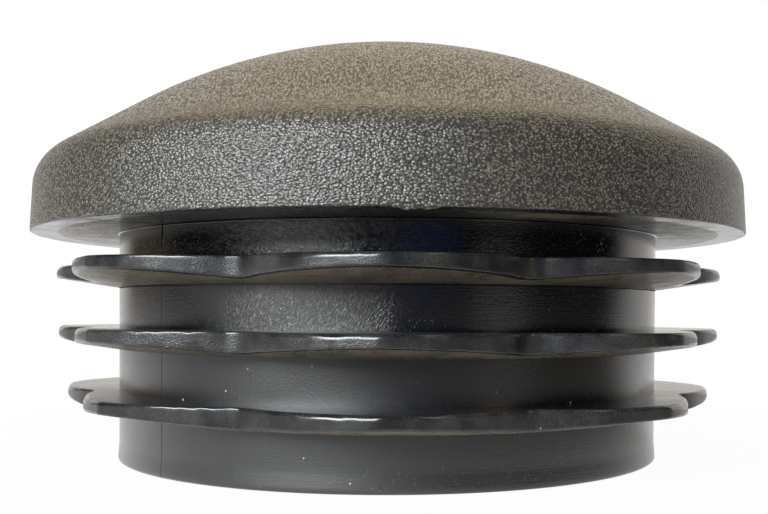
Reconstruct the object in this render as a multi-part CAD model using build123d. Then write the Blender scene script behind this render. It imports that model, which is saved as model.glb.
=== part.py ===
from build123d import *

import math
import os

# Round domed tube end cap, moulded in one piece. Millimetres and degrees, +Z up.
# The origin is the centre of the stem's open end, and -Y is the front.

# The tube that the cap closes
TUBE_OUTSIDE_DIAMETER = 60.0
TUBE_WALL = 2.0

# Head: a low rim wall, a rounded shoulder, a conical band and a spherical crown
RIM_HEIGHT = 5.5  # up to the sharp corner that the shoulder radius rounds off
RIM_DRAFT = 2.0
RIM_EDGE_CHAMFER = 0.25
SHOULDER_RADIUS = 3.5
CONE_SLOPE = 31.6
CONE_WIDTH = 7.5
ROOF_THICKNESS = 2.6

# Stem: a drafted hollow spigot with a slight lip at its open end
STEM_TO_BORE_GAP = 5.0
STEM_DRAFT = 1.05
STEM_WALL = 2.4
STEM_NOSE_LENGTH = 5.7  # from the open end up to the top of the lead fin
STEM_ROOT_RADIUS = 0.2
LIP_HEIGHT = 1.4
LIP_FLARE = 0.12
LIP_EDGE_CHAMFER = 0.25
CORE_DRAFT = 1.0
CORE_CORNER_RADIUS = 3.0

# Fins: flat on top, tapered below, and scalloped into petals. The lead fin is the lowest.
FIN_COUNT = 3
FIN_PITCH = 5.0
FIN_TO_HEAD_GAP = 2.6
FIN_GRIP = 0.9  # how far a petal's tip stands past the tube's bore
LEAD_FIN_GRIP = -0.15  # the lead fin slides in freely and centres the cap
FIN_ROOT_THICKNESS = 1.8
FIN_TIP_THICKNESS = 0.88
PETAL_COUNT = 8
PETAL_FLANK_RADIUS = 13.0
VALLEY_STEP = 1.7  # from the stem out to the sharp valley between two petals
VALLEY_RADIUS = 2.0
BLANK_MARGIN = 0.5  # how far the full-round fin stands past its petals before they are cut

# Dependent sizes
head_radius = TUBE_OUTSIDE_DIAMETER / 2
bore_radius = head_radius - TUBE_WALL
stem_radius = bore_radius - STEM_TO_BORE_GAP
stem_length = STEM_NOSE_LENGTH + (FIN_COUNT - 1) * FIN_PITCH + FIN_TO_HEAD_GAP
cone_rise = math.tan(math.radians(CONE_SLOPE))
cone_foot_radius = head_radius - RIM_HEIGHT * math.tan(math.radians(RIM_DRAFT))
cone_foot_height = stem_length + RIM_HEIGHT
crown_edge_radius = cone_foot_radius - CONE_WIDTH
crown_edge_height = cone_foot_height + CONE_WIDTH * cone_rise
crown_radius = crown_edge_radius / math.sin(math.radians(CONE_SLOPE))
crown_centre_height = crown_edge_height - crown_edge_radius / cone_rise
apex_height = crown_centre_height + crown_radius


def stem_radius_at(height):
    """Return the drafted stem's outer radius at a height above its open end."""
    return stem_radius - (stem_length - height) * math.tan(math.radians(STEM_DRAFT))


def fin_levels():
    """Return each fin's top height and tip radius, from the lead fin up."""
    levels = []
    for index in range(FIN_COUNT):
        grip = LEAD_FIN_GRIP if index == 0 else FIN_GRIP
        levels.append((STEM_NOSE_LENGTH + index * FIN_PITCH, bore_radius + grip))
    return levels


def vertex_at(section, corner):
    """Return the section's vertex nearest to the corner."""
    return section.vertices().sort_by_distance((*corner, 0))[0]


def head_section():
    """Return the dome's half section, with its shoulder and rim edge rounded."""
    rim_foot = (head_radius, stem_length)
    cone_foot = (cone_foot_radius, cone_foot_height)
    crown_edge = (crown_edge_radius, crown_edge_height)
    apex = (0, apex_height)
    outline = Polyline(apex, (0, stem_length), rim_foot, cone_foot, crown_edge)
    outline += RadiusArc(crown_edge, apex, -crown_radius)
    section = fillet(vertex_at(make_face(outline), cone_foot), SHOULDER_RADIUS)
    return chamfer(vertex_at(section, rim_foot), RIM_EDGE_CHAMFER)


def stem_section():
    """Return the solid stem's half section, flared into the lip at its open end."""
    lip_edge = (stem_radius_at(0) + LIP_FLARE, 0)
    lip_top = (stem_radius_at(LIP_HEIGHT), LIP_HEIGHT)
    root = (stem_radius, stem_length)
    section = make_face(Polyline((0, 0), lip_edge, lip_top, root, (0, stem_length), close=True))
    return chamfer(vertex_at(section, lip_edge), LIP_EDGE_CHAMFER)


def fin_section(top, tip_radius):
    """Return the half section of one full-round fin, flat on top and tapered below."""
    underside = top - FIN_ROOT_THICKNESS
    root_radius = stem_radius_at(underside)
    taper = (FIN_ROOT_THICKNESS - FIN_TIP_THICKNESS) / (tip_radius - root_radius)
    blank_radius = tip_radius + BLANK_MARGIN
    edge = top - FIN_TIP_THICKNESS + BLANK_MARGIN * taper
    corners = [(0, top), (blank_radius, top), (blank_radius, edge), (root_radius, underside)]
    return make_face(Polyline(*corners, (0, underside), close=True))


def core_section():
    """Return the half section of the hollow, from below the open end up to its domed roof."""
    draft = math.tan(math.radians(CORE_DRAFT))
    mouth_radius = stem_radius_at(0) - STEM_WALL
    foot = (mouth_radius + STEM_WALL * draft, -STEM_WALL)
    top = (mouth_radius - apex_height * draft, apex_height)
    plug = make_face(Polyline((0, -STEM_WALL), foot, top, (0, apex_height), close=True))
    section = plug & Pos(0, crown_centre_height) * Circle(crown_radius - ROOF_THICKNESS)
    return fillet(vertex_at(section, top), CORE_CORNER_RADIUS)


def cap_section():
    """Return the cap's half section, with its fins still full-round."""
    section = head_section() + stem_section()
    section = fillet(vertex_at(section, (stem_radius, stem_length)), STEM_ROOT_RADIUS)
    for top, tip_radius in fin_levels():
        section += fin_section(top, tip_radius)
    return section - core_section()


def petal_plan(tip_radius):
    """Return a fin's plan: petals of two convex flanks each, meeting in rounded valleys."""
    valley_radius = stem_radius + VALLEY_STEP
    half_petal = 180 / PETAL_COUNT
    tips = [Vector(0, -tip_radius).rotate(Axis.Z, 2 * half_petal * i) for i in range(PETAL_COUNT)]
    first_valley = Vector(0, -valley_radius).rotate(Axis.Z, -half_petal)
    outline = Curve()
    for index, tip in enumerate(tips):
        before = first_valley.rotate(Axis.Z, 2 * half_petal * index)
        after = first_valley.rotate(Axis.Z, 2 * half_petal * (index + 1))
        outline += RadiusArc(before, tip, -PETAL_FLANK_RADIUS)
        outline += RadiusArc(tip, after, -PETAL_FLANK_RADIUS)
    plan = make_face(outline)
    valleys = plan.vertices().filter_by(lambda vertex: vertex.center().length < tip_radius - 0.01)
    return fillet(valleys, VALLEY_RADIUS)


def petal_relief(top, tip_radius):
    """Return the ring of stock cut from one full-round fin to leave its petals."""
    stock = Circle(tip_radius + 2 * BLANK_MARGIN) - petal_plan(tip_radius)
    foot = top - FIN_ROOT_THICKNESS - BLANK_MARGIN
    return Pos(0, 0, foot) * extrude(stock, top + BLANK_MARGIN - foot)


def end_cap():
    """Return the finished cap."""
    cap = revolve(Plane.XZ * cap_section(), Axis.Z)
    for top, tip_radius in fin_levels():
        cap -= petal_relief(top, tip_radius)
    return cap


os.makedirs("parts", exist_ok=True)
export_step(end_cap(), "parts/end_cap.step")
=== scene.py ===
"""Tube end cap: a grained dome on a hollow stem that carries three scalloped fins.

Metres throughout. The origin is the centre of the stem's open end, +Z points to the dome and -Y
is the front. Azimuths run from the front towards +X.
"""

import logging
import math
from collections.abc import Sequence
from dataclasses import dataclass, field
from enum import Enum

import bmesh
import bpy
import numpy as np
from mathutils import Matrix, Vector


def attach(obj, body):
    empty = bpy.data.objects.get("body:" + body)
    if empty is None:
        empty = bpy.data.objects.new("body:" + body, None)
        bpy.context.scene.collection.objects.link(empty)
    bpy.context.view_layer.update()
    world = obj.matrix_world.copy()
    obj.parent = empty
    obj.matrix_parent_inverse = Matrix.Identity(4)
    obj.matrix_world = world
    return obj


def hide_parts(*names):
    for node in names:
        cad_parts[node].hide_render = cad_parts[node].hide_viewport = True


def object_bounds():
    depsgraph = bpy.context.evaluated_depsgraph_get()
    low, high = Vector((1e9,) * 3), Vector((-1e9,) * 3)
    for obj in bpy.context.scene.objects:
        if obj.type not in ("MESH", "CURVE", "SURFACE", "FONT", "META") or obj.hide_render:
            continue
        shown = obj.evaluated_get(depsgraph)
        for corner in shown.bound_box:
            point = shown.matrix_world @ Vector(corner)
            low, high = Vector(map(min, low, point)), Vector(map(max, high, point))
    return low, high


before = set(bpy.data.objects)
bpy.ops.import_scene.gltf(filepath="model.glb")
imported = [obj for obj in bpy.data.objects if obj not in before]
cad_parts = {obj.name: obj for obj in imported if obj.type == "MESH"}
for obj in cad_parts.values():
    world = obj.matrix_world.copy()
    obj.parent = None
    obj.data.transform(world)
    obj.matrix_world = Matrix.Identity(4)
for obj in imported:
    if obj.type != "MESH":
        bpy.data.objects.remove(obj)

CAD_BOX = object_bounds()
CAD_NODE = "end_cap"
BODY = "root"
MM = 0.001
TURN = 2 * math.pi
HEAD_RADIUS = round(CAD_BOX[1].x, 4)
APEX_HEIGHT = CAD_BOX[1].z
STEM_RADIUS = 23 * MM
WELD = 0.0005 * MM
SAME_POINT = 0.001 * MM
SHARP_ANGLE = math.radians(38)
FILM_ROUGHNESS = 0.3

Point = tuple[float, float]
Colour = tuple[float, float, float]
Varying = float | np.ndarray
log = logging.getLogger("end_cap")


class Finish(Enum):
    """The moulding's surface finishes, in the order of a piece's material slots."""

    GRAIN = 0
    SATIN = 1
    FIN_EDGE = 2
    DUSTY = 3
    SMOOTH = 4
    HOLLOW = 5


# Half sections


def straight(start: Point, end: Point, step: float) -> list[Point]:
    """Divide a straight run of a half section.

    Args:
        start: The run's first point, as radius and height.
        end: The run's last point.
        step: The longest distance allowed between two points.

    Returns:
        The points from start to end, both included.
    """
    count = max(1, math.ceil(math.dist(start, end) / step))
    return [
        (start[0] + (end[0] - start[0]) * i / count, start[1] + (end[1] - start[1]) * i / count)
        for i in range(count + 1)
    ]


def arc(centre: Point, start: Point, end: Point, step: float) -> list[Point]:
    """Divide the shorter arc between two points of a half section.

    Args:
        centre: The arc's centre, as radius and height.
        start: The arc's first point.
        end: The arc's last point.
        step: The longest distance allowed between two points.

    Returns:
        The points from start to end, both included.
    """
    radius = math.dist(centre, start)
    first = math.atan2(start[1] - centre[1], start[0] - centre[0])
    last = math.atan2(end[1] - centre[1], end[0] - centre[0])
    sweep = (last - first + math.pi) % TURN - math.pi
    count = max(2, math.ceil(abs(sweep) * radius / step))
    angles = [first + sweep * i / count for i in range(count + 1)]
    return [(centre[0] + radius * math.cos(a), centre[1] + radius * math.sin(a)) for a in angles]


def rounding(before: Point, corner: Point, after: Point, radius: float, step: float) -> list[Point]:
    """Round a corner of a half section.

    Args:
        before: A point on the run that arrives at the corner.
        corner: The sharp corner.
        after: A point on the run that leaves the corner.
        radius: The radius of the rounding.
        step: The longest distance allowed between two points.

    Returns:
        The arc's points, from its tangent point on the first run to the one on the second.
    """
    here = Vector(corner)
    back = (Vector(before) - here).normalized()
    ahead = (Vector(after) - here).normalized()
    half = back.angle(ahead) / 2
    reach = radius / math.tan(half)
    centre = here + (back + ahead).normalized() * radius / math.sin(half)
    return arc(tuple(centre), tuple(here + back * reach), tuple(here + ahead * reach), step)


class HalfSection:
    """A half section, drawn as one stretch after another, each with its own finish."""

    def __init__(self) -> None:
        """Start with no points."""
        self.points: list[Point] = []
        self.finishes: list[Finish] = []

    def draw(self, points: Sequence[Point], finish: Finish) -> None:
        """Add a stretch.

        Args:
            points: The stretch's points; a first one that is already drawn is left out.
            finish: The finish of the surface that leads to each of the points.
        """
        for point in points:
            if self.points and math.dist(point, self.points[-1]) < SAME_POINT:
                continue
            self.points.append(point)
            self.finishes.append(finish)

    def turned(self, azimuths: np.ndarray) -> "Skin":
        """Turn the section about the axis.

        Args:
            azimuths: The columns' azimuths.

        Returns:
            The section's skin.
        """
        radii, heights = (np.array(column) for column in zip(*self.points, strict=True))
        across = np.ones(len(azimuths))
        return Skin(np.outer(radii, across), np.outer(heights, across), azimuths, self.finishes)


@dataclass
class Skin:
    """A closed skin about the axis: a row for each point of the section, a column for each azimuth.

    A row of no radius at either end closes on the axis; otherwise the section is a closed loop.
    """

    radii: np.ndarray
    heights: np.ndarray
    azimuths: np.ndarray
    finishes: list[Finish]

    def faces(self) -> tuple[list[list[int]], list[int]]:
        """Join the points of neighbouring rows and columns.

        Returns:
            Each face's corners, and each face's finish.
        """
        rows, columns = self.radii.shape
        closed = self.radii[0, 0] > 0
        faces, finishes = [], []
        for row in range(0 if closed else 1, rows):
            above, below = (row - 1) % rows * columns, row * columns
            for column in range(columns):
                after = (column + 1) % columns
                corners = [above + column, above + after, below + after, below + column]
                faces.append(corners)
                finishes.append(self.finishes[row].value)
        return faces, finishes

    def piece(self, name: str) -> bpy.types.Object:
        """Build the skin as a smooth-shaded closed mesh, with doubled points welded.

        Args:
            name: The piece's name.

        Returns:
            The new object, linked to the scene.
        """
        x = self.radii * np.sin(self.azimuths)
        y = -self.radii * np.cos(self.azimuths)
        places = np.stack([x, y, self.heights], axis=-1).reshape(-1, 3)
        faces, finishes = self.faces()
        mesh = bpy.data.meshes.new(name)
        mesh.from_pydata(places.tolist(), [], faces)
        mesh.polygons.foreach_set("material_index", finishes)
        editable = bmesh.new()
        editable.from_mesh(mesh)
        bmesh.ops.remove_doubles(editable, verts=editable.verts, dist=WELD)
        bmesh.ops.recalc_face_normals(editable, faces=editable.faces)
        editable.to_mesh(mesh)
        editable.free()
        mesh.shade_smooth()
        mesh.set_sharp_from_angle(angle=SHARP_ANGLE)
        piece = bpy.data.objects.new(name, mesh)
        bpy.context.scene.collection.objects.link(piece)
        return piece


# The moulding's parts


@dataclass(frozen=True)
class PartingLine:
    """The fine groove where the mould's two halves met, on the stem and under the head.

    The crowded columns and the clear stretch round them are measured in widths of the line.
    """

    azimuths: tuple[float, float] = (math.radians(-45), math.radians(135))
    width: float = 0.15 * MM
    depth: float = 0.02 * MM
    crowded: tuple[float, ...] = (-1.2, -0.5, -0.25, 0, 0.25, 0.5, 1.2)
    clear: float = 1.5

    def spread(self, azimuths: np.ndarray) -> np.ndarray:
        """Return each azimuth's angle to the nearer side of the line."""
        apart = [(azimuths - side + math.pi) % TURN - math.pi for side in self.azimuths]
        return np.minimum(*np.abs(apart))

    def groove(self, azimuths: np.ndarray, radii: np.ndarray) -> np.ndarray:
        """Return the groove's depth at each point, by its distance from the line."""
        aside = radii * self.spread(azimuths)
        return self.depth * np.clip(1 - 2 * aside / self.width, 0, 1)

    def columns(self, count: int, radius: float) -> np.ndarray:
        """Spread columns evenly round the axis and crowd a few at the line.

        Args:
            count: How many even columns there are.
            radius: The radius at which the crowded ones are laid out.

        Returns:
            The azimuths, rising.
        """
        even = np.arange(count) * TURN / count
        even = even[radius * self.spread(even) > self.clear * self.width]
        steps = np.array(self.crowded) * self.width / radius
        close = [(side + steps) % TURN for side in self.azimuths]
        return np.sort(np.concatenate([even, *close]))


@dataclass(frozen=True)
class RaggedEdge:
    """A stretch of the rim's lower edge with flash hanging from it."""

    start: float
    end: float
    depth: float
    seed: int
    lumps: int
    least: float = 0.25
    end_taper: float = 10.0
    margin: float = 0.02
    column_step: float = 0.12 * MM

    def share(self, azimuths: np.ndarray) -> np.ndarray:
        """Measure how far along the stretch each azimuth is.

        Args:
            azimuths: The azimuths.

        Returns:
            A share for each azimuth, from 0 to 1 on the stretch.
        """
        middle = (self.start + self.end) / 2
        aside = (azimuths - middle + math.pi) % TURN - math.pi
        return aside / (self.end - self.start) + 0.5

    def reach(self, azimuths: np.ndarray) -> np.ndarray:
        """Measure how far the flash hangs down.

        Args:
            azimuths: The azimuths.

        Returns:
            The flash's depth at each azimuth.
        """
        share = self.share(azimuths)
        ends = np.clip(self.end_taper * share * (1 - share), 0, 1)
        uneven = unevenness(azimuths, self.lumps, self.seed)
        return self.depth * ends * (self.least + (1 - self.least) * uneven)

    def columns(self, azimuths: np.ndarray, radius: float) -> np.ndarray:
        """Swap the columns on the stretch for closer ones.

        Args:
            azimuths: The columns' azimuths so far.
            radius: The radius of the edge.

        Returns:
            The new azimuths, rising.
        """
        share = self.share(azimuths)
        kept = azimuths[(share < -self.margin) | (share > 1 + self.margin)]
        count = math.ceil((self.end - self.start) * radius / self.column_step)
        return np.sort(np.concatenate([kept, np.linspace(self.start, self.end, count) % TURN]))


@dataclass
class Stem:
    """The drafted hollow spigot, with a slight lip at its open end."""

    line: PartingLine
    radius: float = STEM_RADIUS
    length: float = 18.3 * MM
    draft: float = math.tan(math.radians(1.05))
    wall: float = 2.4 * MM
    core_draft: float = math.tan(math.radians(1))
    lip_height: float = 1.4 * MM
    lip_flare: float = 0.12 * MM
    edge_radius: float = 0.22 * MM
    joint: float = 17.5 * MM
    askew: float = 0.13 * MM
    askew_height: float = 3.8 * MM
    columns: int = 480

    def radius_at(self, height: float) -> float:
        """Return the outer radius at a height above the open end."""
        return self.radius - (self.length - height) * self.draft

    def core_radius_at(self, height: float) -> float:
        """Return the hollow's radius at a height above the open end."""
        return self.radius_at(0) - self.wall - height * self.core_draft

    def section(self) -> HalfSection:
        """Draw the half section, from the joint with the head down and up again.

        Returns:
            The closed half section.
        """
        top = (self.radius_at(self.joint), self.joint)
        lip_top = (self.radius_at(self.lip_height), self.lip_height)
        lip_edge = (self.radius_at(0) + self.lip_flare, 0.0)
        mouth = (self.core_radius_at(0), 0.0)
        core_top = (self.core_radius_at(self.joint), self.joint)
        outer_edge = rounding(lip_top, lip_edge, mouth, self.edge_radius, 0.1 * MM)
        mouth_edge = rounding(lip_edge, mouth, core_top, self.edge_radius, 0.1 * MM)
        section = HalfSection()
        section.draw(straight(top, lip_top, 0.5 * MM), Finish.SATIN)
        section.draw(straight(lip_top, outer_edge[0], 0.25 * MM), Finish.SATIN)
        section.draw(outer_edge, Finish.SATIN)
        section.draw(straight(outer_edge[-1], mouth_edge[0], 0.4 * MM), Finish.SATIN)
        section.draw(mouth_edge, Finish.HOLLOW)
        section.draw(straight(mouth_edge[-1], core_top, 1 * MM), Finish.HOLLOW)
        return section

    def build(self) -> bpy.types.Object:
        """Build the stem, with the parting line cut in and the open end a little askew.

        Returns:
            The stem's piece.
        """
        azimuths = self.line.columns(self.columns, self.radius)
        skin = self.section().turned(azimuths)
        outside = skin.radii > self.radius_at(0) - self.edge_radius / 2
        skin.radii -= np.where(outside, self.line.groove(azimuths, skin.radii), 0)
        lean = self.askew * np.sin(azimuths) * np.clip(1 - skin.heights / self.askew_height, 0, 1)
        skin.heights += lean
        return skin.piece("cap_stem")


@dataclass
class Head:
    """The dome: a low rim wall, a rounded shoulder, a conical band and a spherical crown."""

    stem: Stem
    radius: float = HEAD_RADIUS
    apex: float = APEX_HEIGHT
    rim_height: float = 5.5 * MM
    rim_draft: float = math.tan(math.radians(2))
    edge_radius: float = 0.12 * MM
    shoulder_radius: float = 3.5 * MM
    cone_slope: float = math.radians(31.6)
    cone_width: float = 7.5 * MM
    roof_thickness: float = 2.6 * MM
    core_corner_radius: float = 3 * MM
    root_radius: float = 0.1 * MM
    clean_ring: float = 2.1 * MM
    slack: float = 0.01 * MM
    wall_margin: float = 0.1 * MM
    ragged: tuple[RaggedEdge, ...] = (
        RaggedEdge(math.radians(-34), math.radians(-27), 0.09 * MM, 169, 300),
        RaggedEdge(math.radians(1), math.radians(6.8), 0.27 * MM, 43, 420),
    )
    columns: int = 480

    @property
    def underside(self) -> float:
        """The height of the flat underside."""
        return self.stem.length

    @property
    def cone_foot(self) -> Point:
        """The sharp corner that the shoulder rounds off."""
        return (self.radius - self.rim_height * self.rim_draft, self.underside + self.rim_height)

    @property
    def crown_edge(self) -> Point:
        """The point where the cone runs into the crown."""
        rise = self.cone_width * math.tan(self.cone_slope)
        return (self.cone_foot[0] - self.cone_width, self.cone_foot[1] + rise)

    @property
    def crown_radius(self) -> float:
        """The crown's radius of curvature, tangent to the cone."""
        return self.crown_edge[0] / math.sin(self.cone_slope)

    def section(self) -> HalfSection:
        """Draw the half section, from the apex round the rim and up the hollow to the axis.

        Returns:
            The half section.
        """
        stem = self.stem
        apex, centre = (0.0, self.apex), (0.0, self.apex - self.crown_radius)
        rim_foot = (self.radius, self.underside)
        root = (stem.radius, self.underside)
        joint = (stem.radius_at(stem.joint), stem.joint)
        shoulder = rounding(
            self.crown_edge, self.cone_foot, rim_foot, self.shoulder_radius, 0.25 * MM
        )
        edge = rounding(self.cone_foot, rim_foot, root, self.edge_radius, 0.05 * MM)
        root_round = rounding(rim_foot, root, joint, self.root_radius, 0.03 * MM)
        section = HalfSection()
        section.draw(arc(centre, apex, self.crown_edge, 0.55 * MM), Finish.GRAIN)
        section.draw(straight(self.crown_edge, shoulder[0], 0.6 * MM), Finish.GRAIN)
        section.draw(shoulder, Finish.GRAIN)
        section.draw(straight(shoulder[-1], edge[0], 0.5 * MM), Finish.GRAIN)
        section.draw(edge, Finish.GRAIN)
        ring = (self.radius - self.clean_ring, self.underside)
        section.draw(straight(edge[-1], ring, 0.3 * MM), Finish.SMOOTH)
        section.draw(straight(ring, root_round[0], 0.3 * MM), Finish.DUSTY)
        section.draw(root_round, Finish.SATIN)
        section.draw(straight(root_round[-1], joint, 0.1 * MM), Finish.SATIN)
        self.draw_hollow(section, centre)
        return section

    def draw_hollow(self, section: HalfSection, centre: Point) -> None:
        """Add the hollow's wall and its domed roof.

        Args:
            section: The half section so far, ending at the joint with the stem.
            centre: The crown's centre, which the roof shares.
        """
        stem, turn = self.stem, self.core_corner_radius
        roof_radius = self.crown_radius - self.roof_thickness
        slant = math.atan(stem.core_draft)
        middle = (0.0, centre[1] + roof_radius)
        for _ in range(8):
            aside = stem.core_radius_at(middle[1]) - turn / math.cos(slant)
            middle = (aside, centre[1] + math.sqrt((roof_radius - turn) ** 2 - aside**2))
        out = turn / (roof_radius - turn)
        wall_top = (middle[0] + turn * math.cos(slant), middle[1] + turn * math.sin(slant))
        roof_edge = (middle[0] * (1 + out), middle[1] + (middle[1] - centre[1]) * out)
        roof_top = (0.0, centre[1] + roof_radius)
        wall_foot = (stem.core_radius_at(stem.joint), stem.joint)
        section.draw([wall_foot], Finish.HOLLOW)
        section.draw(straight(wall_foot, wall_top, 1 * MM), Finish.HOLLOW)
        section.draw(arc(middle, wall_top, roof_edge, 0.5 * MM), Finish.HOLLOW)
        section.draw(arc(centre, roof_edge, roof_top, 1 * MM), Finish.HOLLOW)

    def build(self) -> bpy.types.Object:
        """Build the head, with the parting line cut in and the rim's edge ragged in places.

        Returns:
            The head's piece.
        """
        line = self.stem.line
        azimuths = line.columns(self.columns, self.stem.radius)
        for stretch in self.ragged:
            azimuths = stretch.columns(azimuths, self.radius)
        skin = self.section().turned(azimuths)
        groove = line.groove(azimuths, skin.radii)
        below = skin.heights < self.underside + self.slack
        outside = skin.radii > self.stem.core_radius_at(0) + self.wall_margin
        flat = below & outside & (skin.radii < self.radius - 2 * self.edge_radius)
        on_root = flat & (skin.radii < self.stem.radius + 0.3 * self.root_radius)
        skin.radii -= np.where(on_root, groove, 0)
        skin.heights += np.where(flat & ~on_root, groove, 0)
        on_edge = (skin.heights < self.underside + self.edge_radius) & (
            skin.radii > self.radius - 1.2 * self.edge_radius
        )
        for stretch in self.ragged:
            skin.heights -= np.where(on_edge, stretch.reach(azimuths), 0)
        return skin.piece("cap_head")


@dataclass(frozen=True)
class PetalPlan:
    """A fin's outline seen from above: petals of two convex flanks, with rounded valleys."""

    petals: int = 8
    flank_radius: float = 13 * MM
    sharp_valley: float = 24.7 * MM
    valley_radius: float = 2 * MM
    flank_points: int = 22
    valley_points: int = 6

    def half_petal(self, tip: float) -> tuple[np.ndarray, np.ndarray]:
        """Draw a petal's outline from its tip to the middle of the next valley.

        Args:
            tip: The tip's distance from the axis.

        Returns:
            The points' azimuths from the tip, rising, and their distances from the axis.
        """
        half = math.pi / self.petals
        mirror = Vector((math.cos(half), math.sin(half)))
        start, corner = Vector((tip, 0)), mirror * self.sharp_valley
        chord = corner - start
        inward = Vector((-chord.y, chord.x)).normalized()
        middle = (start + corner) / 2
        centre = middle + inward * math.sqrt(self.flank_radius**2 - (chord.length / 2) ** 2)
        along = centre.dot(mirror)
        aside = (centre - mirror * along).length
        reach = self.flank_radius + self.valley_radius
        notch = mirror * (along + math.sqrt(reach**2 - aside**2))
        touch = centre + (notch - centre) * (self.flank_radius / reach)
        bottom = notch - mirror * self.valley_radius
        flank_step = (touch - start).length / self.flank_points
        valley_step = (bottom - touch).length / self.valley_points
        outline = arc(tuple(centre), tuple(start), tuple(touch), flank_step)
        outline += arc(tuple(notch), tuple(touch), tuple(bottom), valley_step)[1:]
        x, y = np.array(outline).T
        return np.arctan2(y, x), np.hypot(x, y)

    def outline(self, tip: float) -> tuple[np.ndarray, np.ndarray]:
        """Draw the whole outline.

        Args:
            tip: The tips' distance from the axis.

        Returns:
            The points' azimuths, rising, and their distances from the axis.
        """
        angles, radii = self.half_petal(tip)
        angles = np.concatenate([-angles[:0:-1], angles[:-1]])
        radii = np.concatenate([radii[:0:-1], radii[:-1]])
        turns = np.arange(self.petals) * TURN / self.petals
        return (turns[:, None] + angles).ravel(), np.tile(radii, self.petals)


def smoothed(azimuths: np.ndarray, values: np.ndarray) -> np.ndarray:
    """Read values that are spaced evenly round the axis, from the front on, eased between them.

    Args:
        azimuths: Where they are read.
        values: The values.

    Returns:
        A value for each azimuth.
    """
    place = (azimuths % TURN) / TURN * len(values)
    before = np.floor(place).astype(int)
    share = place - before
    share = share * share * (3 - 2 * share)
    after = (before + 1) % len(values)
    return values[before % len(values)] * (1 - share) + values[after] * share


def unevenness(azimuths: np.ndarray, lumps: int, seed: int) -> np.ndarray:
    """Return a smooth random value from 0 to 1 for each azimuth, with so many lumps in a turn."""
    return smoothed(azimuths, np.random.default_rng(seed).random(lumps))


class RingRows:
    """The rows of a closed ring whose half section changes round the axis."""

    BEND_ROWS = 5

    def __init__(self, azimuths: np.ndarray) -> None:
        """Start with no rows.

        Args:
            azimuths: The columns' azimuths.
        """
        self.azimuths = azimuths
        self.radii: list[np.ndarray] = []
        self.heights: list[np.ndarray] = []
        self.finishes: list[Finish] = []

    def place(self, radius: Varying, height: Varying, finish: Finish) -> None:
        """Add one row.

        Args:
            radius: Its distance from the axis, a number or one for each azimuth.
            height: Its height, likewise.
            finish: The finish of the surface that leads to it.
        """
        across = np.zeros(len(self.azimuths))
        self.radii.append(across + radius)
        self.heights.append(across + height)
        self.finishes.append(finish)

    def run(self, radius: Varying, height: Varying, count: int, finish: Finish) -> None:
        """Add evenly spaced rows, straight from the last row to a new one.

        Args:
            radius: The new row's distance from the axis.
            height: Its height.
            count: How many rows there are, with the new one.
            finish: Their finish.
        """
        last_radius, last_height = self.radii[-1], self.heights[-1]
        for share in np.arange(1, count + 1) / count:
            self.place(
                last_radius + (radius - last_radius) * share,
                last_height + (height - last_height) * share,
                finish,
            )

    def bend(
        self, centre: tuple[Varying, Varying], radius: Varying, angles: Point, finish: Finish
    ) -> None:
        """Add the rows of a rounded corner.

        Args:
            centre: The rounding's centre, as distance from the axis and height.
            radius: Its radius.
            angles: Its first and last angle above the outward direction, in degrees.
            finish: Its finish.
        """
        for angle in np.radians(np.linspace(*angles, self.BEND_ROWS)):
            across, up = radius * np.cos(angle), radius * np.sin(angle)
            self.place(centre[0] + across, centre[1] + up, finish)

    def skin(self) -> Skin:
        """Return the ring's closed skin."""
        return Skin(np.array(self.radii), np.array(self.heights), self.azimuths, self.finishes)


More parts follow.
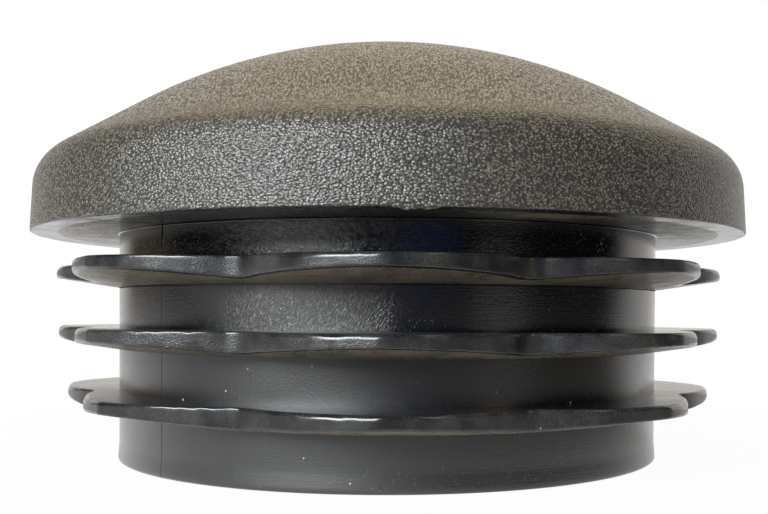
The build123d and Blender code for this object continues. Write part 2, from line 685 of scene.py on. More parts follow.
@dataclass
class Fin:
    """One flexible fin: flat on top, tapered below, scalloped into petals.

    The petal on the -X side of the front one is bent up at its tip, by the lift. Handling has
    rounded the edge near the worn azimuths.
    """

    name: str
    stem: Stem
    plan: PetalPlan
    top: float
    tip: float
    lift: float
    seed: int
    root_thickness: float = 1.8 * MM
    tip_thickness: float = 0.88 * MM
    edge_bevel: float = 0.12 * MM
    bevel_wear: float = 0.12 * MM
    bevel_lumps: int = 260
    low_bevel: float = 0.1 * MM
    low_least: float = 0.6
    low_change: float = 0.8
    low_lumps: int = 300
    face_rows: int = 12
    edge_rows: int = 6
    margin_rows: int = 2
    clean_margin: float = 0.5 * MM
    root_groove: float = 0.08 * MM
    flash: float = 0.07 * MM
    flash_reach: float = 0.001
    embedded: float = 0.8 * MM
    worn_at: tuple[float, ...] = (-53.0, 53.0, -84.0, 84.0, 135.0, 180.0, -135.0)
    rubbed_at: tuple[float, ...] = (-7.0,)
    worn_reach: float = math.radians(12)
    top_wear: float = 0.28 * MM
    top_rub: float = 0.2 * MM
    low_wear: float = 0.2 * MM

    def wear(self, azimuths: np.ndarray, spots: Sequence[float]) -> np.ndarray:
        """Return how worn an edge is at each azimuth, from 0 to 1.

        Args:
            azimuths: The columns' azimuths.
            spots: The azimuths, in degrees, where the edge is most worn.

        Returns:
            The wear at each azimuth.
        """
        apart = [(azimuths - math.radians(spot) + math.pi) % TURN - math.pi for spot in spots]
        nearest = np.min(np.abs(apart), axis=0)
        return np.clip(1 - (nearest / self.worn_reach) ** 2, 0, 1) ** 2

    def bevels(self, azimuths: np.ndarray) -> tuple[np.ndarray, np.ndarray]:
        """Size the roundings of the upper and the lower edge.

        Args:
            azimuths: The columns' azimuths.

        Returns:
            The radius of the upper rounding and of the lower one, at each azimuth.
        """
        wear = self.wear(azimuths, self.worn_at)
        top = self.edge_bevel + self.bevel_wear * unevenness(azimuths, self.bevel_lumps, self.seed) ** 2
        top += self.top_wear * wear + self.top_rub * self.wear(azimuths, self.rubbed_at)
        uneven = unevenness(azimuths, self.low_lumps, self.seed + 1)
        low = self.low_bevel * (self.low_least + self.low_change * uneven)
        return top, low + self.low_wear * wear

    def outline(self) -> tuple[np.ndarray, np.ndarray]:
        """Draw the outline, with a little flash on the ridges in the parting plane.

        Returns:
            The points' azimuths, rising, and their distances from the axis.
        """
        azimuths, reach = self.plan.outline(self.tip)
        on_line = self.stem.line.spread(azimuths) < self.flash_reach
        return azimuths, reach + np.where(on_line, self.flash, 0)

    def build(self) -> bpy.types.Object:
        """Build the fin, a ring whose inner edge lies inside the stem's wall.

        Returns:
            The fin's piece.
        """
        azimuths, reach = self.outline()
        bevel, low = self.bevels(azimuths)
        top, foot = self.top, self.top - self.root_thickness
        root = self.stem.radius_at(foot)
        taper = (self.root_thickness - self.tip_thickness) / (self.tip - root)
        low_edge = foot + (reach - low - root) * taper
        inside, groove, margin = root - self.embedded, self.root_groove, self.clean_margin
        rows = RingRows(azimuths)
        rows.place(inside, top, Finish.SATIN)
        rows.run(reach - bevel, top, self.face_rows, Finish.SATIN)
        rows.bend((reach - bevel, top - bevel), bevel, (90, 0), Finish.SMOOTH)
        rows.run(reach, low_edge + low, self.edge_rows, Finish.FIN_EDGE)
        rows.bend((reach - low, low_edge + low), low, (0, -85), Finish.SMOOTH)
        rows.run(reach - margin, low_edge - (margin - low) * taper, self.margin_rows, Finish.SMOOTH)
        rows.run(root + 2 * groove, foot + 2 * groove * taper, self.face_rows, Finish.DUSTY)
        rows.place(root + groove, foot + groove * taper, Finish.SATIN)
        rows.place(root + groove, foot + groove, Finish.SATIN)
        rows.place(inside, foot + groove, Finish.DUSTY)
        skin = rows.skin()
        out = np.clip((skin.radii - root) / (self.tip - root), 0, 1)
        lifts = np.zeros(self.plan.petals)
        lifts[-1] = self.lift
        skin.heights += smoothed(azimuths, lifts) * out**2
        return skin.piece(self.name)


@dataclass
class FinStack:
    """The three fins, from the lead fin up. The lead fin just slides into the tube's bore."""

    stem: Stem
    lead_top: float = 5.7 * MM
    pitch: float = 5 * MM
    names: tuple[str, ...] = ("fin_lead", "fin_middle", "fin_upper")
    tips: tuple[float, ...] = (27.83 * MM, 28.8 * MM, 28.98 * MM)
    flank_radii: tuple[float, ...] = (14.5 * MM, 13 * MM, 11.5 * MM)
    lifts: tuple[float, ...] = (0.0, 0.0, 0.12 * MM)

    def build(self) -> list[bpy.types.Object]:
        """Build the fins.

        Returns:
            The fins' pieces, from the lead fin up.
        """
        pieces = []
        for index, name in enumerate(self.names):
            plan = PetalPlan(flank_radius=self.flank_radii[index])
            top = self.lead_top + index * self.pitch
            fin = Fin(name, self.stem, plan, top, self.tips[index], self.lifts[index], seed=10 * index)
            pieces.append(fin.build())
        return pieces


# Shader writing


class Signal:
    """A shader socket that arithmetic can be written with."""

    def __init__(self, shading: "Shading", socket: bpy.types.NodeSocket) -> None:
        """Hold an output socket of the node tree."""
        self.shading = shading
        self.socket = socket

    def _worked(self, operation: str, first: "Number", second: "Number") -> "Signal":
        """Return a Math node's result."""
        return self.shading.node("ShaderNodeMath", {"operation": operation}, {0: first, 1: second})

    def __add__(self, other: "Number") -> "Signal":
        """Return the sum."""
        return self._worked("ADD", self, other)

    def __radd__(self, other: "Number") -> "Signal":
        """Return the sum, with the number first."""
        return self._worked("ADD", other, self)

    def __sub__(self, other: "Number") -> "Signal":
        """Return the difference."""
        return self._worked("SUBTRACT", self, other)

    def __rsub__(self, other: "Number") -> "Signal":
        """Return the difference, with the number first."""
        return self._worked("SUBTRACT", other, self)

    def __mul__(self, other: "Number") -> "Signal":
        """Return the product."""
        return self._worked("MULTIPLY", self, other)

    def __rmul__(self, other: "Number") -> "Signal":
        """Return the product, with the number first."""
        return self._worked("MULTIPLY", other, self)

    def __truediv__(self, other: "Number") -> "Signal":
        """Return the quotient."""
        return self._worked("DIVIDE", self, other)

    def __rtruediv__(self, other: "Number") -> "Signal":
        """Return the quotient, with the number first."""
        return self._worked("DIVIDE", other, self)

    def size(self) -> "Signal":
        """Return the value without its sign."""
        return self._worked("ABSOLUTE", self, 0.0)

    def over(self, threshold: float) -> "Signal":
        """Return 1 where the value is above the threshold, else 0."""
        return self._worked("GREATER_THAN", self, threshold)

    def eased(self, low: float, high: float) -> "Signal":
        """Ease the value from 0 at low to 1 at high.

        Args:
            low: Where the result is 0, which may be above high.
            high: Where the result is 1.

        Returns:
            The eased value.
        """
        return self.shading.node(
            "ShaderNodeMapRange",
            {"interpolation_type": "SMOOTHSTEP"},
            {"Value": self, "From Min": low, "From Max": high},
        )


Number = Signal | float


class Shading:
    """The node tree of a material or of the world."""

    def __init__(self, owner: bpy.types.Material | bpy.types.World) -> None:
        """Start with no nodes.

        Args:
            owner: The material or world.
        """
        owner.use_nodes = True
        self.tree = owner.node_tree
        self.tree.nodes.clear()

    def node(
        self,
        kind: str,
        settings: dict[str, object] | None = None,
        inputs: dict[int | str, object] | None = None,
        output: int | str = 0,
    ) -> Signal:
        """Add a node.

        Args:
            kind: The node's type.
            settings: Its settings, set first.
            inputs: A value or a signal for each input socket, by name or place.
            output: The output socket to return.

        Returns:
            The output socket as a signal.
        """
        node = self.tree.nodes.new(kind)
        for name, value in (settings or {}).items():
            setattr(node, name, value)
        for name, value in (inputs or {}).items():
            if isinstance(value, Signal):
                self.tree.links.new(value.socket, node.inputs[name])
            else:
                node.inputs[name].default_value = value
        return Signal(self, node.outputs[output] if len(node.outputs) else None)

    def place(self) -> Signal:
        """Return the point on the piece, in metres."""
        return self.node("ShaderNodeTexCoord", output="Object")

    def axes(self, vector: Signal) -> tuple[Signal, Signal, Signal]:
        """Return a vector's three parts."""
        return tuple(self.node("ShaderNodeSeparateXYZ", None, {0: vector}, i) for i in range(3))

    def stretched(self, vector: Signal, scale: tuple[float, float, float]) -> Signal:
        """Return the vector with each part multiplied by its scale."""
        settings = {"operation": "MULTIPLY"}
        return self.node("ShaderNodeVectorMath", settings, {0: vector, 1: scale})

    def noise(self, vector: Signal, size: float, detail: float = 0, harshness: float = 0.5) -> Signal:
        """Return noise from 0 to 1 in lumps of the size, with finer layers by detail and harshness."""
        inputs = {"Vector": vector, "Scale": 1 / size, "Detail": detail, "Roughness": harshness}
        return self.node("ShaderNodeTexNoise", None, inputs)

    def blend(self, share: Signal, low: Colour | Signal, high: Colour | Signal) -> Signal:
        """Return the colour between two, where a share of 0 is the first and 1 the second."""
        low, high = ((*c, 1) if isinstance(c, tuple) else c for c in (low, high))
        return self.node("ShaderNodeMix", {"data_type": "RGBA"}, {0: share, 6: low, 7: high}, 2)

    def bumped(self, height: Signal, depth: float) -> Signal:
        """Return the normal of a surface whose height goes from 0 to 1 over the depth."""
        return self.node("ShaderNodeBump", None, {"Height": height, "Distance": depth})

    def plastic(
        self, colour: Signal, roughness: Signal, normal: Signal, gloss: float, film: Number
    ) -> None:
        """End a material in plastic.

        Args:
            colour: Its colour.
            roughness: Its roughness.
            normal: Its normal.
            gloss: Its specular level.
            film: The weight of the dull film on it.
        """
        inputs = {"Base Color": colour, "Roughness": roughness, "Normal": normal}
        inputs |= {"Specular IOR Level": gloss, "Coat Weight": film, "Coat Roughness": FILM_ROUGHNESS}
        surface = self.node("ShaderNodeBsdfPrincipled", None, inputs)
        self.node("ShaderNodeOutputMaterial", None, {"Surface": surface})


# Finishes


@dataclass(frozen=True)
class Speck:
    """A larger speck of dust, placed by its azimuth and its distance from the axis and the floor."""

    azimuth: float
    across: float
    height: float
    radius: float

    def mask(self, shading: Shading, place: Signal) -> Signal:
        """Mark the speck.

        Args:
            shading: The material's nodes.
            place: The point on the piece.

        Returns:
            1 on the speck, else 0.
        """
        side, out = math.radians(self.azimuth), self.across * MM
        spot = (out * math.sin(side), -out * math.cos(side), self.height * MM)
        inputs = {0: place, 1: spot}
        far = shading.node("ShaderNodeVectorMath", {"operation": "DISTANCE"}, inputs, "Value")
        return (self.radius * MM - far).over(0.0)


@dataclass(frozen=True)
class Plastic:
    """Black polyethylene, with a sprinkling of dust."""

    name: str
    colour: Colour
    roughness: float
    gloss: float = 0.8
    dust_cell: float = 1.3 * MM
    dust_radius: float = 0.05 * MM
    dust_least: float = 0.5
    dust_share: float = 0.1
    dust_colour: Colour = (0.42, 0.4, 0.36)
    dust_roughness: float = 0.4
    specks: tuple[Speck, ...] = ()

    def dust(self, shading: Shading, place: Signal) -> Signal:
        """Mark the larger specks and the fine dust, which lies in a few of the cells.

        Args:
            shading: The material's nodes.
            place: The point on the piece.

        Returns:
            1 on dust, else 0.
        """
        inputs = {"Vector": place, "Scale": 1 / self.dust_cell}
        near = shading.node("ShaderNodeTexVoronoi", None, inputs)
        draw = shading.axes(shading.node("ShaderNodeTexVoronoi", None, inputs, "Color"))
        radius = self.dust_radius / self.dust_cell
        dust = (radius * (self.dust_least + draw[1]) - near).over(0.0) * draw[0].over(1 - self.dust_share)
        for speck in self.specks:
            dust = dust + speck.mask(shading, place)
        return dust.eased(0.0, 1.0)

    def finish(
        self,
        shading: Shading,
        colour: Signal,
        roughness: Signal,
        height: Signal,
        depth: float,
        film: Number = 0.0,
    ) -> None:
        """End the material, with its dust on top.

        Args:
            shading: The material's nodes.
            colour: The plastic's colour.
            roughness: Its roughness.
            height: Its relief, from 0 to 1.
            depth: The relief's depth.
            film: How much wax has come out on its surface, from 0 to 1.
        """
        dust = self.dust(shading, shading.place())
        colour = shading.blend(dust, colour, self.dust_colour)
        normal = shading.bumped(height, depth)
        roughness = roughness + dust * self.dust_roughness
        shading.plastic(colour, roughness, normal, self.gloss, film)


@dataclass(frozen=True)
class Grained(Plastic):
    """The head's spark-eroded grain: small rounded nodules, with shade painted darker into the pits
    between them.
    """

    pit_shade_colour: Colour = (0.026, 0.0247, 0.021)
    nodule: float = 0.21 * MM
    rim_squash: float = 1.25
    crown_nodule: float = 0.17 * MM
    crown_stretch: float = 0.3
    crown_from: float = 23 * MM
    crown_to: float = 27 * MM
    crown_relief: float = 0.7
    crown_roughness: float = 0.15
    crown_polish: Point = (0.35, 0.65)
    roundness: float = 0.6
    lump_share: float = 0.7
    lump_harshness: float = 0.3
    raised: Point = (0.4, 0.87)
    nodule_roughness: float = 0.3
    cloud: float = 7 * MM
    clouding: float = 0.6
    cloud_roughness: float = 0.1
    depth: float = 0.108 * MM
    dust_share: float = 0.0

    def nodules(self, shading: Shading, place: Signal, size: float) -> Signal:
        """Shape rounded nodules, each highest at its middle and uneven round it.

        Args:
            shading: The material's nodes.
            place: The point on the piece.
            size: How wide a nodule is.

        Returns:
            The nodules' height, from 0 to 1.
        """
        cell = shading.node("ShaderNodeTexVoronoi", None, {"Vector": place, "Scale": 1 / size})
        uneven = shading.noise(place, self.lump_share * size, 1.0, self.lump_harshness)
        return (1 - cell) * self.roundness + uneven * (1 - self.roundness)

    def material(self) -> bpy.types.Material:
        """Build the material.

        Returns:
            The new material.
        """
        material = bpy.data.materials.new(self.name)
        shading = Shading(material)
        place = shading.place()
        crown = shading.axes(place)[2].eased(self.crown_from, self.crown_to)
        squashed = shading.stretched(place, (1, 1, self.rim_squash))
        drawn_out = shading.stretched(place, (1, self.crown_stretch, self.crown_stretch))
        fine = self.nodules(shading, squashed, self.nodule)
        coarse = self.nodules(shading, drawn_out, self.crown_nodule)
        nodules = fine * (1 - crown) + coarse * crown
        cloud = shading.noise(place, self.cloud, 3.0) - 0.5
        share = nodules.eased(*self.raised) * (1 + cloud * self.clouding)
        # Painted shade: the colour darkens from the nodules' tops down into the pits between them.
        colour = shading.blend(share, self.pit_shade_colour, self.colour)
        polish = crown * (0.5 - nodules.eased(*self.crown_polish))
        roughness = self.roughness + polish * self.crown_roughness + cloud * self.cloud_roughness
        roughness = roughness + (0.5 - nodules) * self.nodule_roughness
        height = nodules * (1 + crown * self.crown_relief)
        self.finish(shading, colour, roughness, height, self.depth)
        return material


@dataclass(frozen=True)
class Patch:
    """A patch of the stem's outside, soft at its edges.

    It is whole as far as the inner share of its half width, and ends at the outer share.
    """

    azimuth: float
    half_width: float
    low: float
    high: float
    strength: float = 1.0
    radius: float = STEM_RADIUS
    edge: float = 0.4 * MM
    inner: float = 0.5
    outer: float = 1.4

    def mask(self, shading: Shading, place: Signal) -> Signal:
        """Mark the patch, softly at its edges.

        Args:
            shading: The material's nodes.
            place: The point on the piece.

        Returns:
            The patch's strength inside it, and 0 outside.
        """
        x, y, z = shading.axes(place)
        facing = (x * math.sin(self.azimuth) - y * math.cos(self.azimuth)) / self.radius
        ends = (math.cos(share * self.half_width) for share in (self.outer, self.inner))
        across = facing.eased(*ends)
        lower = z.eased(self.low - self.edge, self.low + self.edge)
        inside = across * lower * z.eased(self.high + self.edge, self.high - self.edge)
        return inside * self.strength


@dataclass(frozen=True)
class Satin(Plastic):
    """The stem's surface: finely pebbled, with tool rings, rubbed patches and slanted scratches."""

    dull_colour: Colour = (0.16, 0.155, 0.145)
    pebble: float = 0.14 * MM
    pebble_roughness: float = 0.3
    pebble_relief: float = 0.2
    cloud: float = 3 * MM
    cloud_roughness: float = 0.16
    ring: float = 0.07 * MM
    ring_stretch: float = 0.03
    ring_relief: Point = (0.07, 0.2)
    ring_smoothing: float = 0.7
    ringed: Point = (4.2 * MM, 2.9 * MM)
    depth: float = 0.045 * MM
    stroke: float = 0.085 * MM
    stroke_stretch: float = 0.25
    stroke_edge: Point = (0.4, 0.65)
    scratch_share: float = 0.7
    scratch_least: float = 0.4
    spot: float = 0.35 * MM
    spot_edge: Point = (0.34, 0.52)
    mottle_edge: Point = (0.4, 0.66)
    mottle_share: float = 0.5
    loose_stroke: Point = (0.62, 0.72)
    loose_spot: Point = (0.5, 0.65)
    loose_share: float = 0.3
    slant: float = -0.38
    rubbed: tuple[Patch, ...] = (
        Patch(math.radians(-14), math.radians(10), 15 * MM, 20 * MM, 0.2),
        Patch(math.radians(-17), math.radians(18), 9.5 * MM, 15 * MM, 1.1),
        Patch(math.radians(-27), math.radians(36), -1 * MM, 9.5 * MM),
    )
    rubbed_roughness: float = 0.2
    rubbed_relief: float = 0.4
    rubbed_film: float = 0.7
    gloss_steps: tuple[Point, ...] = ((9 * MM, 0.1), (14.2 * MM, 0.04))
    gloss_stretch: float = 1.2
    film: float = 0.5
    film_from: float = 11.5 * MM
    film_to: float = 6 * MM
    scratched: Patch = Patch(math.radians(-13.5), math.radians(13.5), 10.6 * MM, 14 * MM)
    mottled: Patch = Patch(math.radians(-12), math.radians(16), 15.8 * MM, 18.2 * MM, 0.5)
    # The painted shade of the parting groove and of the shadow line under the upper fin's root.
    line_width: float = 0.13 * MM
    line_core: float = 0.5
    line_groove_shade_least: float = 0.2
    line_shade_colour: Colour = (0.002, 0.002, 0.002)
    line_groove_shade_below: Point = (10 * MM, 4 * MM)
    line_groove_shade_above: Point = (17 * MM, 17.4 * MM)
    root_shadow_line_height: float = 13.84 * MM
    root_shadow_line_width: float = 0.05 * MM
    root_shadow_line_core: float = 0.6
    specks: tuple[Speck, ...] = (
        Speck(-28.4, 22.74, 6.55, 0.08),
        Speck(-38.7, 22.73, 5.75, 0.08),
        Speck(-12.0, 22.78, 8.4, 0.07),
        Speck(19.4, 22.75, 6.7, 0.06),
        Speck(34.7, 22.73, 5.8, 0.07),
        Speck(-5.4, 22.7, 0.75, 0.07),
        Speck(-13.4, 22.67, 2.3, 0.07),
    )

    def material(self) -> bpy.types.Material:
        """Build the material.

        Returns:
            The new material.
        """
        material = bpy.data.materials.new(self.name)
        shading = Shading(material)
        place = shading.place()
        height_above = shading.axes(place)[2]
        ringed = height_above.eased(*self.ringed)
        drawn_out = shading.stretched(place, (self.ring_stretch, self.ring_stretch, 1))
        rings = shading.noise(drawn_out, self.ring, 1.0)
        cloud = shading.noise(place, self.cloud, 4.0, 0.6) - 0.5
        pebbles = shading.noise(place, self.pebble, 2.0, 0.6)
        worn = self.worn(shading, place)
        # Painted shade: the parting groove and a thin line under the upper fin's root are painted nearly
        # black.
        line = (self.parting_line(shading, place) + self.root_shadow_line(height_above)).eased(0.0, 1.0)
        colour = shading.blend(worn, self.colour, self.dull_colour)
        colour = shading.blend(line, colour, self.line_shade_colour)
        roughness = self.roughness + cloud * self.cloud_roughness + line
        roughness = roughness + (pebbles - 0.5) * self.pebble_roughness
        for start, gain in self.gloss_steps:
            roughness = roughness - height_above.eased(start, self.gloss_stretch * start) * gain
        rubbed = 0.0
        for patch in self.rubbed:
            rubbed = patch.mask(shading, place) + rubbed
        roughness = roughness + rubbed * self.rubbed_roughness
        relief = (1 - ringed * self.ring_smoothing) * (self.pebble_relief + rubbed * self.rubbed_relief)
        plain, deep = self.ring_relief
        height = pebbles * relief + rings * (plain + ringed * (deep - plain)) + worn
        film = height_above.eased(self.film_from, self.film_to) * self.film
        film = film + rubbed * self.rubbed_film
        self.finish(shading, colour, roughness, height, self.depth, film)
        return material

    def worn(self, shading: Shading, place: Signal) -> Signal:
        """Mark scratches and rubbed spots.

        Args:
            shading: The material's nodes.
            place: The point on the piece.

        Returns:
            Up to 1 where the surface is worn, else 0.
        """
        turn = {"Vector": place, "Rotation": (0.0, self.slant, 0.0)}
        slanted = shading.node("ShaderNodeMapping", None, turn)
        drawn_out = shading.stretched(slanted, (1, 1, self.stroke_stretch))
        strokes = shading.noise(drawn_out, self.stroke, 1.0)
        spots = shading.noise(place, self.spot, 3.0, 0.65)
        broken = self.scratch_least + (1 - self.scratch_least) * spots.eased(*self.spot_edge)
        scratches = self.scratched.mask(shading, place) * strokes.eased(*self.stroke_edge)
        scratches = scratches * broken * self.scratch_share
        mottles = self.mottled.mask(shading, place) * spots.eased(*self.mottle_edge)
        loose = strokes.eased(*self.loose_stroke) * spots.eased(*self.loose_spot)
        return scratches + mottles * self.mottle_share + loose * self.loose_share

    def parting_line(self, shading: Shading, place: Signal) -> Signal:
        """Mark the mould's parting plane, where the groove is painted dark as shade, more strongly low
        down and near the top.

        Args:
            shading: The material's nodes.
            place: The point on the piece.

        Returns:
            Up to 1 along the groove, else 0.
        """
        x, y, z = shading.axes(place)
        away = (x - y).size() * math.sqrt(0.5)
        near = away.eased(self.line_width, self.line_core * self.line_width)
        least = self.line_groove_shade_least
        groove_shade = z.eased(*self.line_groove_shade_below) * (1 - least) + z.eased(*self.line_groove_shade_above)
        return near * (groove_shade + least)

    def root_shadow_line(self, z: Signal) -> Signal:
        """Return 1 in the painted shadow line under the upper fin's root, else 0."""
        core = self.root_shadow_line_core * self.root_shadow_line_width
        return (z - self.root_shadow_line_height).size().eased(self.root_shadow_line_width, core)


@dataclass(frozen=True)
class Mottled(Plastic):
    """A finely rough face with small bright facets, some of it worn paler in cloudy spots."""

    worn_colour: Colour = (0.05, 0.05, 0.05)
    facet: float = 0.11 * MM
    cloud: float = 2.2 * MM
    roughness_change: float = 0.2
    depth: float = 0.04 * MM
    smooth_relief: float = 0.2
    rough_edge: Point = (0.4, 0.6)
    rough_heights: Point = (6.4 * MM, 8 * MM)
    worn_edge: Point = (0.667, 1.444)
    under_patch_colour: Colour = (0.05, 0.05, 0.051)
    under_patch_above: float = 17.5 * MM
    under_patch_share: float = 0.85
    under_patch_front: Point = (-12 * MM, -19 * MM)
    under_patch_side: Point = (12 * MM, 2 * MM)

    def material(self) -> bpy.types.Material:
        """Build the material.

        Returns:
            The new material.
        """
        material = bpy.data.materials.new(self.name)
        shading = Shading(material)
        place = shading.place()
        facets = shading.noise(place, self.facet, 1.5, 0.6)
        cloud = shading.noise(place, self.cloud, 3.0)
        aside, away, height_above = shading.axes(place)
        rough = cloud.eased(*self.rough_edge) * height_above.eased(*self.rough_heights)
        worn = (facets + cloud).eased(*self.worn_edge)
        colour = shading.blend(worn, self.colour, self.worn_colour)
        # Towards the front and left of the head's underside the colour is pulled most of the way to a
        # dark grey: darker on the tan ring, a little lighter on the smooth one.
        front = away.eased(*self.under_patch_front) * aside.eased(*self.under_patch_side)
        under_patch = height_above.over(self.under_patch_above) * front * self.under_patch_share
        colour = shading.blend(under_patch, colour, self.under_patch_colour)
        roughness = self.roughness + (cloud - facets) * self.roughness_change
        height = facets * (self.smooth_relief + rough * (1 - self.smooth_relief))
        self.finish(shading, colour, roughness, height, self.depth)
        return material


@dataclass(frozen=True)
class FinishSet:
    """The moulding's finishes, one for each of Finish."""

    grain: Grained = Grained("grained_polyethylene", (0.25, 0.228, 0.185), 0.33, gloss=0.8)
    satin: Satin = Satin("satin_polyethylene", (0.0024, 0.0025, 0.0029), 0.25, gloss=0.65)
    edge: Mottled = Mottled("fin_edge_polyethylene", (0.004, 0.0043, 0.005), 0.33, gloss=0.6)
    dusty: Mottled = Mottled(
        "dusty_polyethylene",
        (0.2, 0.172, 0.128),
        0.3,
        gloss=0.6,
        worn_colour=(0.5, 0.43, 0.32),
        facet=0.2 * MM,
        depth=0.02 * MM,
        dust_share=0.0,
    )
    smooth: Mottled = Mottled(
        "smooth_polyethylene", (0.008, 0.008, 0.009), 0.2, gloss=0.75, depth=0.006 * MM
    )
    hollow: Satin = Satin(
        "hollow_polyethylene", (0.012, 0.012, 0.012), 0.42, line_width=0.0001 * MM, specks=()
    )

    def dress(self, pieces: Sequence[bpy.types.Object]) -> None:
        """Give each piece the finishes, in the order of Finish.

        Args:
            pieces: The pieces to dress.
        """
        finishes = (self.grain, self.satin, self.edge, self.dusty, self.smooth, self.hollow)
        materials = [finish.material() for finish in finishes]
        for piece in pieces:
            for material in materials:
                piece.data.materials.append(material)


# Studio


@dataclass(frozen=True)
class Softbox:
    """A soft rectangular lamp that faces the object."""

    name: str
    azimuth: float
    elevation: float
    distance: float
    width: float
    height: float
    radiance: float
    colour: Colour
    aim: float = 0.015

    def build(self) -> bpy.types.Object:
        """Build the lamp.

        Returns:
            The lamp's object, linked to the scene.
        """
        level = math.cos(self.elevation)
        out = Vector(
            (math.sin(self.azimuth) * level, -math.cos(self.azimuth) * level, math.sin(self.elevation))
        )
        lamp = bpy.data.lights.new(self.name, "AREA")
        lamp.shape = "RECTANGLE"
        lamp.size, lamp.size_y = self.width, self.height
        lamp.color = self.colour
        lamp.energy = self.radiance * math.pi * self.width * self.height
        piece = bpy.data.objects.new(self.name, lamp)
        piece.location = Vector((0, 0, self.aim)) + out * self.distance
        piece.rotation_euler = out.to_track_quat("Z", "Y").to_euler()
        piece.visible_camera = False
        bpy.context.scene.collection.objects.link(piece)
        return piece


@dataclass(frozen=True)
class Surroundings:
    """A pale backdrop behind the object and a dim room in front; white to the camera.

    The room has a brown wall on the left and a patch of dusk straight ahead. Each edge between
    them is a pair of direction cosines, where the change starts and where it is complete.
    """

    backdrop: Colour = (0.95, 0.91, 0.86)
    warm_sky: Colour = (1.0, 0.82, 0.55)
    left_wall: Colour = (0.22, 0.17, 0.12)
    room: Colour = (0.014, 0.014, 0.016)
    dusk: Colour = (0.05, 0.09, 0.27)
    dusk_azimuth: float = math.radians(12)
    dusk_spread: Point = (0.93, 0.99)
    sky_rise: Point = (0.25, 0.8)
    right_edge: Point = (0.22, 0.52)
    left_edge: Point = (0.6, 0.8)
    wall_edge: Point = (0.02, 0.2)
    side_change: Point = (-0.5, 0.0)

    def build(self) -> bpy.types.World:
        """Build the world.

        Returns:
            The world, in use by the scene.
        """
        world = bpy.data.worlds.new("studio")
        bpy.context.scene.world = world
        shading = Shading(world)
        direction = shading.node("ShaderNodeTexCoord", output="Generated")
        aside, away, up = shading.axes(direction)
        sky = shading.blend(up.eased(*self.sky_rise), self.backdrop, self.warm_sky)
        right = shading.blend(away.eased(*self.right_edge), self.room, sky)
        left = shading.blend(away.eased(*self.left_edge), self.left_wall, sky)
        left = shading.blend(away.eased(*self.wall_edge), self.room, left)
        light = shading.blend(aside.eased(*self.side_change), left, right)
        ahead = aside * math.sin(self.dusk_azimuth) - away * math.cos(self.dusk_azimuth)
        light = shading.blend(ahead.eased(*self.dusk_spread), light, self.dusk)
        seen = shading.node("ShaderNodeLightPath", output="Is Camera Ray")
        light = shading.blend(seen, light, (1.0, 1.0, 1.0))
        background = shading.node("ShaderNodeBackground", None, {"Color": light})
        shading.node("ShaderNodeOutputWorld", None, {"Surface": background})
        return world


@dataclass(frozen=True)
class Floor:
    """The plain pale floor, white to the camera but for the object's soft shadow near it."""

    half_width: float = 0.8
    drop: float = 0.15 * MM
    colour: Colour = (0.86, 0.85, 0.83)
    dim_colour: Colour = (0.16, 0.155, 0.15)
    glow: float = 0.97
    near: float = 35 * MM
    far: float = 75 * MM
    dim_from: float = 10 * MM
    dim_to: float = 62 * MM
    dim_share: float = 0.93
    dim_front: Point = (0.35, 0.05)
    dim_right: Point = (-0.95, -0.45)
    lit_side: float = math.sin(math.radians(43))
    lit_share: float = 0.6
    lit_width: Point = (0.2, 0.05)
    lit_from: float = 50 * MM
    lit_to: float = 200 * MM

    def build(self) -> bpy.types.Object:
        """Build the floor.

        Returns:
            The floor's object, linked to the scene.
        """
        side = self.half_width
        mesh = bpy.data.meshes.new("floor")
        corners = [(-side, -side), (side, -side), (side, side), (-side, side)]
        mesh.from_pydata([(x, y, -self.drop) for x, y in corners], [], [(0, 1, 2, 3)])
        mesh.materials.append(self.material())
        floor = bpy.data.objects.new("floor", mesh)
        bpy.context.scene.collection.objects.link(floor)
        return floor

    def material(self) -> bpy.types.Material:
        """Build the floor's material, which is clear from below.

        Returns:
            The new material.
        """
        material = bpy.data.materials.new("pale_floor")
        shading = Shading(material)
        aside, away, _ = shading.axes(shading.place())
        distance = shading.node(
            "ShaderNodeVectorMath", {"operation": "LENGTH"}, {0: shading.place()}, "Value"
        )
        dim = distance.eased(self.dim_from, self.dim_to) * (away / distance).eased(*self.dim_front)
        dim = dim * (aside / distance).eased(*self.dim_right) * self.dim_share
        lit = (aside / distance - self.lit_side).size().eased(*self.lit_width)
        dim = dim * (1 - lit * distance.eased(self.lit_from, self.lit_to) * self.lit_share)
        colour = shading.blend(dim, self.colour, self.dim_colour)
        paper = shading.node("ShaderNodeBsdfDiffuse", None, {"Color": colour})
        white = shading.node("ShaderNodeEmission", None, {"Color": (1, 1, 1, 1)})
        camera, glossy, through = (
            shading.node("ShaderNodeLightPath", output=kind)
            for kind in ("Is Camera Ray", "Is Glossy Ray", "Is Transmission Ray")
        )
        glow = self.glow + distance.eased(self.near, self.far) * (1 - self.glow)
        glow = (camera + (glossy + through) * (1 - dim)) * glow
        surface = shading.node("ShaderNodeMixShader", None, {0: glow, 1: paper, 2: white})
        clear = shading.node("ShaderNodeBsdfTransparent")
        below = shading.node("ShaderNodeNewGeometry", output="Backfacing")
        surface = shading.node("ShaderNodeMixShader", None, {0: below, 1: surface, 2: clear})
        shading.node("ShaderNodeOutputMaterial", None, {"Surface": surface})
        return material


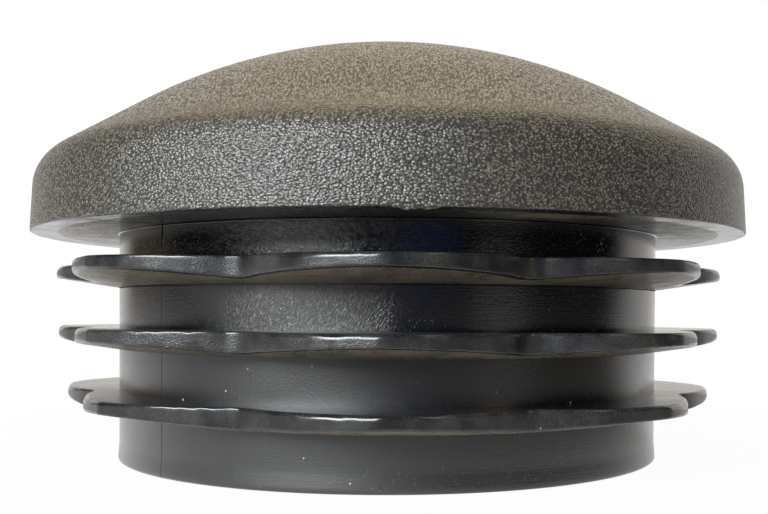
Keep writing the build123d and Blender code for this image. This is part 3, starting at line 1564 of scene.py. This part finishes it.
@dataclass(frozen=True)
class Camera:
    """A camera close in front of the cap, a little below its head."""

    focal_pixels: float = 1018.3
    image_width: float = 768.0
    sensor_width: float = 36.0
    standoff: float = 90.15 * MM
    height: float = 12.09 * MM
    turn: float = 0.0098
    yaw: float = -0.0032
    pitch: float = 0.0529
    roll: float = 0.0056

    def build(self) -> bpy.types.Object:
        """Build the camera.

        Returns:
            The scene's camera.
        """
        lens = bpy.data.cameras.new("camera")
        lens.sensor_width = self.sensor_width
        lens.lens = self.sensor_width * self.focal_pixels / self.image_width
        lens.clip_start, lens.clip_end = 1 * MM, 10
        camera = bpy.data.objects.new("camera", lens)
        round_axis = Matrix.Rotation(self.turn, 4, "Z")
        level = Matrix.Rotation(math.pi / 2, 4, "X")
        aim = (
            Matrix.Rotation(-self.yaw, 4, "Z")
            @ Matrix.Rotation(self.pitch, 4, "X")
            @ Matrix.Rotation(-self.roll, 4, "Y")
        )
        stand = Matrix.Translation((0, -self.standoff, self.height))
        camera.matrix_world = round_axis @ stand @ aim @ level
        bpy.context.scene.collection.objects.link(camera)
        bpy.context.scene.camera = camera
        return camera


@dataclass
class Studio:
    """The camera, the floor and the light."""

    window: Softbox = Softbox(
        "window", math.radians(-33), math.radians(24), 0.5, 0.34, 0.22, 16.5, (0.92, 0.97, 1.0)
    )
    sill: Softbox = Softbox(
        "window_sill", math.radians(-33), math.radians(1), 0.5, 0.3, 0.06, 1.5, (0.95, 0.98, 1.0)
    )
    strip: Softbox = Softbox(
        "side_strip", math.radians(43), math.radians(24), 0.5, 0.07, 0.3, 2.5, (1.0, 0.8, 0.6)
    )
    ceiling: Softbox = Softbox(
        "ceiling", math.radians(-160), math.radians(70), 0.6, 0.5, 0.5, 0.95, (1.0, 0.82, 0.58)
    )

    def build(self) -> None:
        """Set up the studio."""
        lamps = (self.window, self.sill, self.strip, self.ceiling)
        for part in (Camera(), Floor(), Surroundings(), *lamps):
            log.info("built %s", part.build().name)
        bpy.context.scene.view_settings.view_transform = "Standard"


# Assembly


@dataclass
class EndCap:
    """The whole moulding, as pieces that stand for its one solid."""

    stem: Stem = field(default_factory=lambda: Stem(PartingLine()))
    finishes: FinishSet = FinishSet()

    def build(self) -> list[bpy.types.Object]:
        """Build the pieces, dress them and make them ride on the cap's body.

        Returns:
            The pieces.
        """
        pieces = [Head(self.stem).build(), self.stem.build(), *FinStack(self.stem).build()]
        self.finishes.dress(pieces)
        for piece in pieces:
            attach(piece, BODY)
            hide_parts(CAD_NODE)
            log.info("built %s with %d faces", piece.name, len(piece.data.polygons))
        return pieces


def main() -> None:
    """Build the studio and the cap, and log what was built."""
    logging.basicConfig(level=logging.INFO, format="%(message)s")
    Studio().build()
    EndCap().build()


if __name__ == "__main__":
    main()
